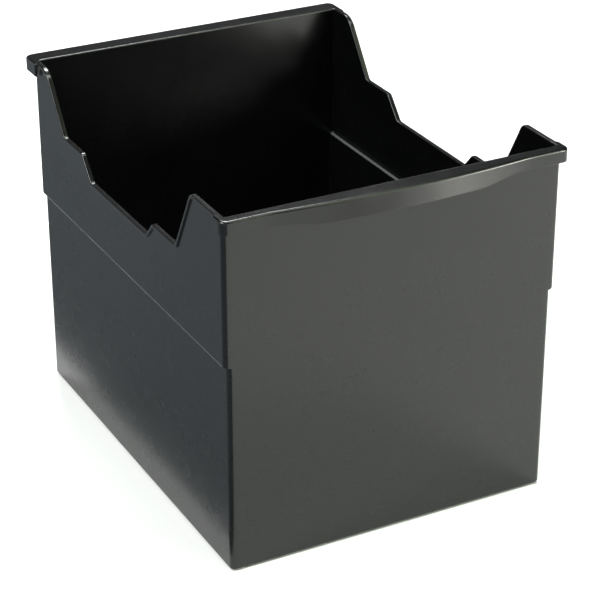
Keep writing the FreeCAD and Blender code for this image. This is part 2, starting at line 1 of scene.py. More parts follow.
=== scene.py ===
"""An open moulded tray for a card file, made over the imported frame.

Every surface is worked out as whole arrays: the box is one closed skin whose rings follow its
stepped rim, and the fittings are turned, swept or rounded blocks.  Lengths inside the shape
functions are millimetres; the properties and the meshes are in metres.
"""
import math
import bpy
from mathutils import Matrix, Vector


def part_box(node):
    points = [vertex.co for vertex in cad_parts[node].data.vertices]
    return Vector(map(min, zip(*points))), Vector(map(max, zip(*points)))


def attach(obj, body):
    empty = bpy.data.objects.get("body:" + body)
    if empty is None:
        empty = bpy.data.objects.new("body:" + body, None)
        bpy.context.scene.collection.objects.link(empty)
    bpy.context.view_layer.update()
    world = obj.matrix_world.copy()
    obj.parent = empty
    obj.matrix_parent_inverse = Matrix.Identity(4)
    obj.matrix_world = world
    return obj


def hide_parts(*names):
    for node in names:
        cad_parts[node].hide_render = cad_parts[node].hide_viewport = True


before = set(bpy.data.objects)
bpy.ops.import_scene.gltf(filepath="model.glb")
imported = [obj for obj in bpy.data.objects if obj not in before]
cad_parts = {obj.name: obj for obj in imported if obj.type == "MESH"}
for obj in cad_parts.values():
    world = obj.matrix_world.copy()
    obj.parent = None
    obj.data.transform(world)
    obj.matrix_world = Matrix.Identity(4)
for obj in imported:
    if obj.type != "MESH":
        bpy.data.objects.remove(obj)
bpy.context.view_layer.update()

from types import SimpleNamespace

import bmesh
import bpy
import numpy as np
from bpy.props import FloatProperty, FloatVectorProperty, PointerProperty

bl_info = {
    "name": "Card File Tray",
    "version": (1, 0, 0),
    "blender": (4, 5, 0),
    "location": "View3D > Sidebar > Card File",
    "description": "Builds a moulded card file tray, its sliding card support and a plain stage",
    "category": "Add Mesh",
}

TRAY_LOW, TRAY_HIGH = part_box("tray_body")
TRACK_LOW, TRACK_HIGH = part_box("guide_track")

MM = 0.001  # a millimetre in metres
PER_METRE = 1000  # millimetres in a metre
SCREW_INSET = 4.6  # from the track's end to the middle of a screw
LOW_LEVELS = (60, 100)  # heights of the plain rings on the lower walls
HIGH_LEVELS = (155, 172)  # heights of the plain rings on the upper walls
STRAIGHT, CORNER_START = 133.9, 137.0  # side columns between these are stretched to the corner
RIM_END, RIM_MELT = 132.1, 0.85  # where the rim starts to turn into the lip, and over what run
GRIP_EDGE, GRIP_FADE = 78, 28  # where the front skirt starts to deepen, and over what run
BOW_SOFTNESS = 0.003  # eases the front lip's bow into its straight ends
PAINTED_HIGHLIGHT_TINT = (0.17, 0.18, 0.18)  # a paler tint painted along the side walls' ledges: a painted highlight


def length(name, default, description):
    """A length in metres."""
    return FloatProperty(name=name, description=description, default=default, unit="LENGTH",
                         precision=5, min=0.0)


def colour(name, default, description):
    """A linear colour."""
    return FloatVectorProperty(name=name, description=description, default=default,
                               subtype="COLOR", size=3, min=0.0, max=1.0)


class CardTraySizes(bpy.types.PropertyGroup):
    """Sizes of the moulded box and its rim."""

    width: length("Width", 0.218, "Outside width of the lower walls")
    depth: length("Depth", 0.280, "Outside depth of the walls")
    height: length("Height", TRAY_HIGH.z, "Height of the end walls above the table")
    underside: length("Underside", TRAY_LOW.z, "Gap between the table and the moulded floor")
    wall: length("Wall", 0.0024, "Thickness of the walls")
    floor_plate: length("Floor plate", 0.0026, "Thickness of the floor")
    corner: length("Corner", 0.003, "Radius of the upright corners")
    ledge_height: length("Ledge height", 0.138, "Height of the step in the side walls")
    ledge_step: length("Ledge step", 0.0024, "How far the side walls step out above the ledge")
    rim_reach: length("Rim reach", 0.0010, "How far the side rim stands out from its wall")
    rim_plate: length("Rim plate", 0.0022, "Thickness of the rim and of the lips' tops")
    lip_end: length("Lip end", 0.0026, "How far the lips' ends stand out from the side walls")
    front_lip: length("Front lip", 0.005, "Overhang of the front lip at its ends")
    grip_bow: length("Grip bow", 0.0066, "How much further the front lip bows out at its middle")
    grip_length: length("Grip length", 0.170, "Length of the bowed part of the front lip")
    grip_flare: length("Grip flare", 0.0024, "How far the bowed skirt leans out at its foot")
    skirt: length("Skirt", 0.0088, "Depth of the front lip's skirt at its ends")
    grip_skirt: length("Grip skirt", 0.0120, "Depth of the front lip's skirt at its middle")
    back_lip: length("Back lip", 0.0116, "Overhang of the back lip")
    back_skirt: length("Back skirt", 0.0092, "Depth of the back lip's skirt")


class CardTrayFinishes(bpy.types.PropertyGroup):
    """Colours and finishes."""

    plastic: colour("Tray plastic", (0.0014, 0.0015, 0.0017), "Charcoal of the moulded box")
    plastic_gloss: FloatProperty(name="Tray roughness", description="Roughness of the moulded box",
                                 default=0.24, min=0.0, max=1.0, subtype="FACTOR")
    support: colour("Support plastic", (0.020, 0.021, 0.023), "Charcoal of the card support")
    carriage: colour("Carriage plastic", (0.016, 0.017, 0.018), "Black of the carriage")
    lever: colour("Lever plastic", (0.17, 0.18, 0.19), "Grey of the brake lever")
    steel: colour("Steel", (0.42, 0.43, 0.44), "Bright zinc-plated steel")
    rubber: colour("Rubber", (0.022, 0.022, 0.021), "Soft black rubber")


class CardTrayStage(bpy.types.PropertyGroup):
    """The camera, the floor and the lights."""

    azimuth: FloatProperty(name="Azimuth", default=-27.68,
                           description="Turn of the camera about the tray, in degrees")
    elevation: FloatProperty(name="Elevation", default=26.89,
                             description="Height of the camera's sight, in degrees")
    distance: length("Distance", 1.3767, "From the camera to the point it looks at")
    lens: FloatProperty(name="Lens", description="Focal length in millimetres", default=128.1)
    aim: FloatVectorProperty(name="Aim", description="The point the camera looks at",
                             default=(0.0046, -0.0108, 0.0973), subtype="TRANSLATION", size=3)
    floor: colour("Floor", (0.86, 0.86, 0.86), "Pale floor")
    sky: FloatProperty(name="Sky", description="Brightness of the room", default=0.05, min=0.0)
    horizon: FloatProperty(name="Horizon", description="Brightness of the room at eye level",
                           default=1.05, min=0.0)
    key: FloatProperty(name="Front light", description="Power of the front light in watts",
                       default=24.0, min=0.0)
    top: FloatProperty(name="Top light", description="Power of the top light in watts",
                       default=72.0, min=0.0)
    low: FloatProperty(name="Low light", description="Power of the light seen in the grip",
                       default=42.0, min=0.0)
    back: FloatProperty(name="Edge light", description="Power of the edge light in watts",
                        default=45.0, min=0.0)
    side: FloatProperty(name="Side light", description="Power of the left light in watts",
                        default=105.0, min=0.0)
    flag: FloatProperty(name="Flag", description="Brightness of the card seen in the left wall",
                        default=0.42, min=0.0)


def in_mm(group):
    """A property group's values as plain attributes, its lengths in millimetres."""
    found = {}
    for prop in group.bl_rna.properties:
        if prop.identifier in ("rna_type", "name"):
            continue
        value = getattr(group, prop.identifier)
        is_length = getattr(prop, "unit", "") == "LENGTH"
        found[prop.identifier] = value * PER_METRE if is_length else value
    return SimpleNamespace(**found)


# ---------------------------------------------------------------------------- surfaces


def smooth_step(value):
    """Three t squared minus two t cubed, with t held between 0 and 1."""
    t = np.clip(value, 0.0, 1.0)
    return t * t * (3 - 2 * t)


def arc(centre, radius, start, end, steps):
    """Points of an arc: centre plus radius times (cos, sin) of angles from start to end degrees."""
    angle = np.radians(np.linspace(start, end, steps + 1))
    return centre[0] + radius * np.cos(angle), centre[1] + radius * np.sin(angle)


def grid_quads(rows, columns, close_rows=False, close_columns=True):
    """Quads of a grid of vertices numbered row by row; a closed way joins its end to its start."""
    row = np.arange(rows if close_rows else rows - 1)
    column = np.arange(columns if close_columns else columns - 1)
    i, j = np.meshgrid(row, column, indexing="ij")
    i_next, j_next = (i + 1) % rows, (j + 1) % columns
    here, ahead = i * columns, i_next * columns
    return np.stack((here + j, here + j_next, ahead + j_next, ahead + j), -1).reshape(-1, 4)


def ring_skin(rings):
    """A closed skin from rings of equal length, shape (rings, points, 3): quads between the rings,
    and one flat cap on the first and the last ring."""
    count, around = rings.shape[:2]
    quads = grid_quads(count, around)
    first = np.arange(around)[::-1]
    last = np.arange(around) + (count - 1) * around
    return rings.reshape(-1, 3), quads, [first.tolist(), last.tolist()]


def outward(skin):
    """The skin with its faces turned outward: they are all reversed if the sum over the faces of
    corner . (corner x corner), six times the volume inside, is negative."""
    points, quads, caps = skin
    a, b, c, d = (points[quads[:, k]] for k in range(4))
    six_volumes = np.einsum("ij,ij->", a, np.cross(b, c)) + np.einsum("ij,ij->", a, np.cross(c, d))
    for cap in caps:
        rim = points[cap]
        six_volumes += np.einsum("ij,ij->", np.broadcast_to(rim[0], rim[1:-1].shape),
                                 np.cross(rim[1:-1], rim[2:]))
    if six_volumes < 0:
        return points, quads[:, ::-1], [cap[::-1] for cap in caps]
    return skin


def rounded_block(low, high, radius, steps=3):
    """A block with rounded edges: a sphere of the radius cut in eight and pulled apart, so a point
    is its corner's centre plus radius times (cos t cos p, cos t sin p, sin t)."""
    low, high = np.array(low, float) + radius, np.array(high, float) - radius
    quarter = np.radians(np.linspace(0, 90, steps + 1))
    p = np.concatenate([quarter + np.radians(90 * k) for k in range(4)])
    right = np.repeat([1, 0, 0, 1], steps + 1)
    back = np.repeat([1, 1, 0, 0], steps + 1)
    t = np.concatenate([-quarter[::-1], quarter])
    up = np.repeat([0, 1], steps + 1)
    x = np.where(right, high[0], low[0]) + radius * np.cos(t)[:, None] * np.cos(p)
    y = np.where(back, high[1], low[1]) + radius * np.cos(t)[:, None] * np.sin(p)
    z = np.where(up, high[2], low[2])[:, None] + radius * np.sin(t)[:, None] + 0 * p
    return outward(ring_skin(np.stack([x, y, z], -1)))


def turned(profile, centre, axis="z", steps=48):
    """A turned skin: each (radius, height) of the profile goes round the axis, radius times
    (cos, sin) of the angle, with the height along the axis."""
    radius, height = np.array(profile, float).T
    angle = np.linspace(0, 2 * math.pi, steps, endpoint=False)
    across = radius[:, None] * np.cos(angle)
    up = radius[:, None] * np.sin(angle)
    along = np.broadcast_to(height[:, None], across.shape)
    order = {"z": (across, up, along), "x": (along, across, up)}[axis]
    return outward(ring_skin(np.stack(order, -1) + np.array(centre, float)))


def swept(path, radius, sides=12):
    """A round wire along a path that never runs along X: a point is the path's point plus radius
    times (cos a N + sin a B), N being X made square to the path, and B square to both."""
    ahead = np.gradient(path, axis=0)
    ahead /= np.linalg.norm(ahead, axis=1, keepdims=True)
    n = np.array([1.0, 0, 0]) - ahead[:, :1] * ahead
    n /= np.linalg.norm(n, axis=1, keepdims=True)
    b = np.cross(ahead, n)
    a = np.linspace(0, 2 * math.pi, sides, endpoint=False)[None, :, None]
    rings = path[:, None] + radius * (np.cos(a) * n[:, None] + np.sin(a) * b[:, None])
    return outward(ring_skin(rings))


def make_piece(name, skins, material, body, replaced, sharp=50.0, marks=None):
    """One mesh object from closed skins in millimetres, with its body and CAD nodes."""
    points, faces, start = [], [], 0
    for skin_points, quads, caps in skins:
        points.append(skin_points)
        faces += (quads + start).tolist()
        faces += [[index + start for index in cap] for cap in caps]
        start += len(skin_points)
    mesh = bpy.data.meshes.new(name)
    mesh.from_pydata(np.concatenate(points) * MM, [], faces)
    for title, values in (marks or {}).items():
        mesh.attributes.new(title, "FLOAT", "POINT").data.foreach_set(
            "value", np.asarray(values, np.float32))
    return settle(mesh, material, body, replaced, sharp)


def new_object(name, data):
    """A new object in the scene, unmoved."""
    made = bpy.data.objects.new(name, data)
    bpy.context.scene.collection.objects.link(made)
    return made


def settle(mesh, material, body, replaced, sharp=50.0):
    """Shade a mesh smoothly between its sharp edges and hand its object to the frame."""
    mesh.polygons.foreach_set("use_smooth", np.ones(len(mesh.polygons), bool))
    mesh.set_sharp_from_angle(angle=math.radians(sharp))
    mesh.materials.append(material)
    piece = new_object(mesh.name, mesh)
    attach(piece, body)
    if replaced:
        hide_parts(*replaced)
    return piece


def softened_copy(name, node, material, body, edge, segments=3):
    """A copy of a CAD node, its triangles merged into whole faces, with rounded edges."""
    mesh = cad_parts[node].data.copy()
    mesh.name = name
    shape = bmesh.new()
    shape.from_mesh(mesh)
    bmesh.ops.remove_doubles(shape, verts=shape.verts, dist=1e-6)
    bmesh.ops.dissolve_limit(shape, angle_limit=math.radians(0.5), verts=shape.verts,
                             edges=shape.edges)
    shape.to_mesh(mesh)
    shape.free()
    mesh.materials.clear()
    piece = settle(mesh, material, body, [node], 40.0)
    bevel = piece.modifiers.new("edges", "BEVEL")
    bevel.width = edge * MM
    bevel.segments = segments
    bevel.limit_method = "ANGLE"
    bevel.angle_limit = math.radians(35)
    bevel.use_clamp_overlap = True
    bevel.harden_normals = True
    return piece


# ------------------------------------------------------------------------------ the box


def rounded_line(corners, radii, reach, steps):
    """A line through corners with each corner rounded: the arc touches its two runs at radius
    times tan(half the turn) from the corner.  Short runs of reach stand at both ends of each arc.
    Returns the points and the heading at each, as an angle above +Y."""
    corners = np.array(corners, float)
    ahead = np.diff(corners, axis=0)
    ahead /= np.linalg.norm(ahead, axis=1, keepdims=True)
    points, headings = [corners[:1]], [np.arctan2(ahead[:1, 1], ahead[:1, 0])]
    for corner, before, after, radius in zip(corners[1:-1], ahead[:-1], ahead[1:], radii):
        heading = math.atan2(before[1], before[0])
        turn = math.atan2(after[1], after[0]) - heading
        start = corner - before * radius * math.tan(abs(turn) / 2)
        side = math.copysign(1.0, turn)
        centre = start + side * radius * np.array([-before[1], before[0]])
        swing = heading + np.linspace(0, turn, steps + 1)
        curve = centre - side * radius * np.stack([-np.sin(swing), np.cos(swing)], -1)
        points += [curve[:1] - before * reach, curve, curve[-1:] + after * reach]
        headings += [swing[:1], swing, swing[-1:]]
    points.append(corners[-1:])
    headings.append(np.arctan2(ahead[-1:, 1], ahead[-1:, 0]))
    points, headings = np.concatenate(points), np.concatenate(headings)
    gaps = np.linalg.norm(np.diff(points, axis=0), axis=1)
    pieces = np.maximum(np.ceil(gaps / 7.0), 1).astype(int)
    share = np.concatenate([k + np.arange(n) / n for k, n in enumerate(pieces)] + [[len(gaps)]])
    spot = np.arange(len(points))
    return (np.interp(share, spot, points[:, 0]), np.interp(share, spot, points[:, 1]),
            np.interp(share, spot, headings))


def rim_line():
    """The side rim's top edge from the front to the back, as y, z and heading."""
    corners = [(-131.4, 232), (-100, 232), (-77.5, 190.5), (-45, 190.5), (-35.5, 180),
               (48.5, 180), (62, 195), (91, 195), (118, 232), (131.4, 232)]
    return rounded_line(corners, [6, 2.6, 3.4, 2.4, 2.4, 3.4, 2.8, 14], 0.5, 9)


def box_columns(size):
    """The columns of the box's skin, once round it from the front left: where each stands on a
    rounded rectangle, and the rim's height and heading there."""
    line_y, line_z, heading = rim_line()
    end = np.array([136.4, 135.2, 133.9, 133.3, 133.05, 132.8, 132.5, 132.2, 131.8])
    side_y = np.concatenate([-end, line_y, end[::-1]])
    side_z = np.concatenate([0 * end + size.height, line_z, 0 * end + size.height])
    side_t = np.concatenate([0 * end, heading, 0 * end])
    across = np.linspace(-1, 1, 73)[1:-1]
    turn = np.radians(np.linspace(0, 90, 9))
    still = np.zeros(len(turn))

    def part(share_x, share_y, normal, y, z, tilt, along_side):
        count = len(y)
        return np.stack([np.broadcast_to(share_x, count), np.broadcast_to(share_y, count),
                         np.broadcast_to(normal[0], count), np.broadcast_to(normal[1], count),
                         y, z, tilt, np.broadcast_to(along_side, count)])

    top = still + size.height
    flat = across * 0
    loop = [
        part(across, -1, (0, -1), flat, flat + size.height, flat, 0),
        part(1, -1, (np.sin(turn), -np.cos(turn)), still, top, still, 0),
        part(1, 0, (1, 0), side_y, side_z, side_t, 1),
        part(1, 1, (np.cos(turn), np.sin(turn)), still, top, still, 0),
        part(across[::-1], 1, (0, 1), flat, flat + size.height, flat, 0),
        part(-1, 1, (-np.sin(turn), np.cos(turn)), still, top, still, 0),
        part(-1, 0, (-1, 0), side_y[::-1], side_z[::-1], side_t[::-1], 1),
        part(-1, -1, (-np.cos(turn), -np.sin(turn)), still, top, still, 0)]
    names = ("share_x", "share_y", "normal_x", "normal_y", "y", "z", "tilt", "on_side")
    return SimpleNamespace(**dict(zip(names, np.concatenate(loop, axis=1))))


def box_ring(at, half_x, half_y, radius, height, shift=0.0):
    """One ring of the box's skin.  A corner column stands at (half less radius) plus radius times
    its normal; a side column keeps its own y, stretched near the ends to meet the corners."""
    spare = half_y - radius
    far = np.abs(at.y) - STRAIGHT
    stretch = (spare - STRAIGHT) / (CORNER_START - STRAIGHT)
    stretched = np.sign(at.y) * (STRAIGHT + far * stretch)
    side_y = np.where(far > 0, stretched, at.y)
    x = at.share_x * (half_x - radius) + at.normal_x * radius
    y = np.where(at.on_side > 0, side_y, at.share_y * spare + at.normal_y * radius)
    return np.stack([x, y + shift, height + 0 * x], -1)


def lip_section(size, overhang, skirt, flare):
    """The lip's profile, from the wall's outside, over the top, to its inside, as distances out of
    the wall's outer face and up from the rim's top.  Every corner is an arc between short runs,
    and the skirt leans out towards its foot by the flare."""
    plate, wall, run, root = size.rim_plate, size.wall, 0.1, 0.4
    zero = 0 * overhang
    thick = np.minimum(wall, overhang - 1.1)
    face = overhang - thick
    foot, brow, inner = 0.4 * thick, np.minimum(1.5, 0.55 * overhang), 0.8
    runs = [(zero, zero - plate - root - run)]

    def bend(out, up, radius, start, end, steps):
        for a, b in zip(*arc((0, 0), 1.0, start, end, steps)):
            runs.append((out + radius * a, up + radius * b))

    bend(zero + root, zero - plate - root, root, 180, 90, 4)
    runs += [(zero + root + run, zero - plate), (face - root - run, zero - plate)]
    bend(face - root, zero - plate - root, root, 90, 0, 4)
    runs += [(face, zero - plate - root - run), (face, foot + run - skirt)]
    bend(face + foot, foot - skirt, foot, 180, 270, 4)
    bend(overhang - foot, foot - skirt, foot, 270, 360, 4)
    runs += [(overhang, foot + run - skirt), (overhang, zero - brow - run)]
    bend(overhang - brow, zero - brow, brow, 0, 90, 5)
    runs += [(overhang - brow - run, zero), (zero - wall + inner + run, zero)]
    bend(zero + inner - wall, zero - inner, inner, 90, 180, 4)
    runs.append((zero - wall, zero - inner - run))
    out, up = np.array([a for a, b in runs]), np.array([b for a, b in runs])
    leaning = slice(8, 34)
    out[leaning] -= flare * (1 + up[leaning] / skirt)
    return out, up


def rim_section(size):
    """The side rim's profile with as many points as the lip's, so that one can turn into the
    other: a narrow bead on the wall's top whose upper edges are well rounded."""
    plate, wall, run, out = size.rim_plate, size.wall, 0.1, size.rim_reach
    root, edge, brow, inner = 0.25, 0.3, 0.85, 0.8
    points = [(0, -plate - root - run)]
    points += zip(*arc((root, -plate - root), root, 180, 90, 4))
    points += [(a, -plate) for a in np.linspace(root + 0.06, out - edge - 0.06, 9)]
    points += zip(*arc((out - edge, edge - plate), edge, 270, 360, 9))
    points += [(out, edge - plate + 0.1), (out, -brow - 0.1)]
    points += zip(*arc((out - brow, -brow), brow, 0, 90, 5))
    points += [(out - brow - run, 0), (inner + run - wall, 0)]
    points += zip(*arc((inner - wall, -inner), inner, 90, 180, 4))
    points.append((-wall, -inner - run))
    return np.array(points).T


def box_skin(size):
    """The whole box as one skin of rings, from its underside, up the outside, over the rim and
    down the inside to its floor.  Each ring is a rounded rectangle whose size, height and shift
    may differ from column to column."""
    at = box_columns(size)
    half_x, half_y = size.width / 2, size.depth / 2
    upper = half_x + size.ledge_step
    rings, painted_highlight = [], []

    def flat_ring(out_x, out_y, radius, height):
        rings.append(box_ring(at, out_x, out_y, radius, height))

    # the outside, from the underside to the ledge
    bottom = 1.5
    for a, b in zip(*arc((-bottom, bottom), bottom, 270, 360, 5)):
        flat_ring(half_x + a, half_y + a, size.corner + a / 2, size.underside + b)
    flat_ring(half_x, half_y, size.corner, size.underside + bottom + 1)
    step, level = size.ledge_step, size.ledge_height
    for height in (*LOW_LEVELS, level - 1.4):
        flat_ring(half_x, half_y, size.corner, height)
    for a, b in zip(*arc((0.45, -0.45), 0.45, 180, 95, 4)):
        flat_ring(half_x + a, half_y, size.corner, level - 0.1 + b)
    # the rounded edge of the outer ledge is marked for a painted highlight on the side walls
    for a, b in zip(*arc((step - 0.9, 0.9), 0.9, -85, 0, 5)):
        flat_ring(half_x + a, half_y, size.corner, level + b)
        painted_highlight.append(len(rings) - 1)
    for height in (level + 1.2, *HIGH_LEVELS):
        flat_ring(upper, half_y, size.corner, height)

    # the rim and the lips
    bow = 1 - np.clip((at.share_x * upper) / (size.grip_length / 2), -1.6, 1.6) ** 2
    bow = (bow + np.sqrt(bow ** 2 + BOW_SOFTNESS)) / (1 + math.sqrt(1 + BOW_SOFTNESS))
    front = at.normal_y < -0.5
    front_flat = front & (np.abs(at.share_x) < 1)
    bow = np.where(front_flat, bow, 0)
    overhang = np.where(front, size.front_lip + size.grip_bow * bow, size.back_lip)
    middle = smooth_step((GRIP_EDGE - np.abs(at.share_x * upper)) / GRIP_FADE)
    front_skirt = size.skirt + (size.grip_skirt - size.skirt) * middle
    side_front = (at.on_side > 0) & (at.y < 0) | front | ((at.share_y < 0) & (at.on_side < 1))
    skirt = np.where(side_front, front_skirt, size.back_skirt)
    skirt = np.where((at.on_side > 0) & side_front, size.skirt, skirt)
    overhang = np.where(side_front & ~front_flat, size.front_lip, overhang)
    end_a = lip_section(size, overhang, skirt, size.grip_flare * bow)[0]
    side_a, side_b = lip_section(size, size.lip_end + 0 * overhang, skirt, 0 * bow)
    rim_a, rim_b = rim_section(size)
    lip = np.where(at.on_side > 0, smooth_step((np.abs(at.y) - RIM_END) / RIM_MELT), 1.0)
    side_a = lip * side_a + (1 - lip) * rim_a[:, None]
    side_b = lip * side_b + (1 - lip) * rim_b[:, None]
    rise, lean = np.cos(at.tilt), -np.sin(at.tilt)
    touched = [0.0] * len(rings)
    for a_end, a_side, b in zip(end_a, side_a, side_b):
        radius = size.corner + np.where(a_side > 0, 0.6, 0.9) * a_side
        rings.append(box_ring(at, upper + a_side, half_y + a_end, radius,
                              at.z + b * rise, b * lean * (at.on_side > 0)))
        touched.append(1.0)

    # the inside, from the rim to the floor
    low = side_b[-1] * lean * (at.on_side > 0)
    wall, tight = size.wall, 0.8
    ledge = level + wall

    def inner_ring(out_x, height, in_y=half_y - wall):
        rings.append(box_ring(at, out_x, in_y, tight, height, low))

    for height in (*HIGH_LEVELS[::-1], ledge + 1.2):
        inner_ring(half_x, height)
    for a, b in zip(*arc((-0.5, 0.5), 0.5, 0, -85, 4)):
        inner_ring(half_x + a, ledge + b)
    # the rounded edge of the inner ledge is marked for the same painted highlight
    for a, b in zip(*arc((1.0, -1.0), 1.0, 95, 180, 6)):
        inner_ring(half_x - wall + a, ledge - 0.05 + b)
        painted_highlight.append(len(rings) - 1)
    top_of_floor = size.underside + size.floor_plate
    for height in (ledge - 1.2, *LOW_LEVELS[::-1], top_of_floor + 2.8):
        inner_ring(half_x - wall, height)
    for a, b in zip(*arc((-1.5, 1.5), 1.5, 0, -90, 5)):
        inner_ring(half_x - wall + a, top_of_floor + b, half_y - wall + a)
    touched += [0.0] * (len(rings) - len(touched))
    # the rings marked for the painted highlight, kept only on the side walls' columns
    rubbed_and_painted_highlight = np.isin(np.arange(len(rings)), painted_highlight).astype(float)
    marks = {"handled": np.repeat(touched, len(at.on_side)),
             "painted_highlight": np.outer(rubbed_and_painted_highlight, at.on_side).ravel()}
    return outward(ring_skin(np.array(rings))), marks


def floor_fittings(size):
    """Two rails, four card ribs and two screw bosses, each a closed block rooted in the floor."""
    floor = size.underside + size.floor_plate
    rail_top = TRACK_LOW.z * PER_METRE
    rib_top = TRACK_HIGH.z * PER_METRE
    reach = TRACK_HIGH.y * PER_METRE
    skins = []
    for low, high, top in ((4, 7, rail_top), (44, 46, rib_top), (88, 90, rib_top)):
        for side in (-1, 1):
            x = sorted((side * low, side * high))
            skins.append(rounded_block((x[0], -reach, floor - 1), (x[1], reach, top), 0.45))
    screw = reach - SCREW_INSET
    boss = [(1.45, floor - 1), (5.9, floor - 1), (5.9, floor - 0.2), (5.5, floor + 0.2),
            (5.15, floor + 0.9), (5.0, floor + 1.6), (5.0, rail_top - 0.4), (4.88, rail_top - 0.12),
            (4.6, rail_top), (1.75, rail_top), (1.5, rail_top - 0.25), (1.45, rail_top - 0.6)]
    for side in (-1, 1):
        skins.append(turned(boss, (0, side * screw, 0)))
    return skins


# ------------------------------------------------------------------------------ fittings


def screw_head_skin(centre, top):
    """A countersunk head with a cross recess: over a disc of (radius r, angle a) the height is the
    head's slight dome less a cross, whose depth fades where the lesser of |x| and |y| passes half
    the cross's width and where r passes the cross's reach."""
    rim, angles, circles = 2.55, 96, 26
    a = np.linspace(0, 2 * math.pi, angles, endpoint=False)
    r = rim * np.linspace(1, 0.02, circles)[:, None]
    x, y = r * np.cos(a), r * np.sin(a)
    narrow = np.minimum(np.abs(x), np.abs(y))
    cross = smooth_step((0.36 - narrow) / 0.14) * smooth_step((1.45 - np.abs(r)) / 0.35)
    centre_pit = smooth_step((0.75 - r) / 0.4)
    z = 0.10 * (1 - (r / rim) ** 2) - 0.62 * np.maximum(cross, centre_pit) + 0 * x
    face = np.stack([x, y, z], -1)
    flare = np.array([(1.4, -2.0), (1.42, -1.25), (2.5, -0.12), (2.56, -0.05)])
    skirt = np.stack([flare[:, :1] * np.cos(a), flare[:, :1] * np.sin(a),
                      flare[:, 1:] + 0 * a], -1)
    rings = np.concatenate([skirt, face]) + np.array([0, centre, top - 0.06])
    return outward(ring_skin(rings))


def pin_skin(low, high):
    """A drawn pin lying along X with small chamfers on its ends."""
    radius = (high.z - low.z) * PER_METRE / 2
    half = (high.x - low.x) * PER_METRE / 2
    centre = (low + high) * PER_METRE / 2
    edge = 0.25
    profile = [(0.3, -half), (radius - edge, -half), (radius, edge - half), (radius, 0),
               (radius, half - edge), (radius - edge, half), (0.3, half)]
    return turned(profile, centre, "x", 40)


def clip_skin(side, bore, outer, middle, thickness):
    """A push-on ring: a dished washer whose face leans in towards the pin by a tenth of its width,
    with a rolled outer edge and six tongues, marked by dips of the inner edge with the cosine of
    six times the angle."""
    around = 96
    a = np.linspace(0, 2 * math.pi, around, endpoint=False)
    tongue = 0.5 + 0.5 * np.cos(6 * a)
    inner = bore + 0.05 + 0.55 * smooth_step((0.35 - tongue) / 0.2)
    share = np.array([0, 0, 0.3, 0.8, 0.93, 1.0, 1.0, 0.93, 0.8, 0.3, 0])
    face = np.array([0, 1, 1, 1, 0.92, 0.7, 0.3, 0.08, 0, 0, 0])
    r = inner + (outer - inner) * share[:, None]
    x = thickness * (face[:, None] * 0.8 + 0.2 * (1 - share[:, None])) * side + 0 * r
    rings = np.stack([x, r * np.cos(a), r * np.sin(a)], -1) + middle
    count = len(share)
    quads = grid_quads(count, around, close_rows=True)
    return outward((rings.reshape(-1, 3), quads, []))


def spring_skin(low, high):
    """A wound wire with two short legs: the coil is (pitch times turns, radius cos, radius sin),
    and each leg carries on along the coil's end."""
    wire, turns = 0.35, 3.5
    radius = (high.z - low.z) * PER_METRE / 2 - wire
    centre = np.array((low + high) * PER_METRE / 2)
    start = low.x * PER_METRE + wire
    rise = (high.x - low.x) * PER_METRE - 2 * wire
    a = np.linspace(0, 2 * math.pi * turns, 150)
    coil = np.stack([start + rise * a / a[-1], centre[1] + radius * np.cos(a),
                     centre[2] + radius * np.sin(a)], -1)
    first, last = coil[0] - coil[1], coil[-1] - coil[-2]
    leg = np.linspace(0, 2.2, 7)[1:, None]
    ahead = coil[-1] + last / np.linalg.norm(last) * leg
    behind = coil[0] + first / np.linalg.norm(first) * leg[::-1]
    return swept(np.concatenate([behind, coil, ahead]), wire, 12)


def foot_skin(low, high):
    """A soft foot: a disc with a rounded lower edge and a shallow dish under it."""
    radius = (high.x - low.x) * PER_METRE / 2
    centre = (low + high) * PER_METRE / 2
    base, top = low.z * PER_METRE, high.z * PER_METRE
    profile = [(0.4, base + 0.22), (radius * 0.45, base + 0.16), (radius * 0.66, base + 0.02),
               (radius * 0.72, base), (radius - 0.6, base), (radius - 0.25, base + 0.08),
               (radius - 0.06, base + 0.28), (radius, base + 0.55), (radius, top - 0.1),
               (radius - 0.1, top), (0.4, top)]
    return turned(profile, (centre.x, centre.y, 0), "z", 64)


# ----------------------------------------------------------------------------- materials


class Value:
    """A shader output socket on which arithmetic adds Math nodes."""

    def __init__(self, shader, socket):
        self.shader, self.socket = shader, socket

    def math(self, operation, *operands, **settings):
        values = dict(enumerate(operands))
        return self.shader.node("ShaderNodeMath", {"operation": operation, **settings}, values)

    def __add__(self, other):
        return self.math("ADD", self, other)

    def __sub__(self, other):
        return self.math("SUBTRACT", self, other)

    def __rsub__(self, other):
        return self.math("SUBTRACT", other, self)

    def __mul__(self, other):
        return self.math("MULTIPLY", self, other)

    __radd__, __rmul__ = __add__, __mul__


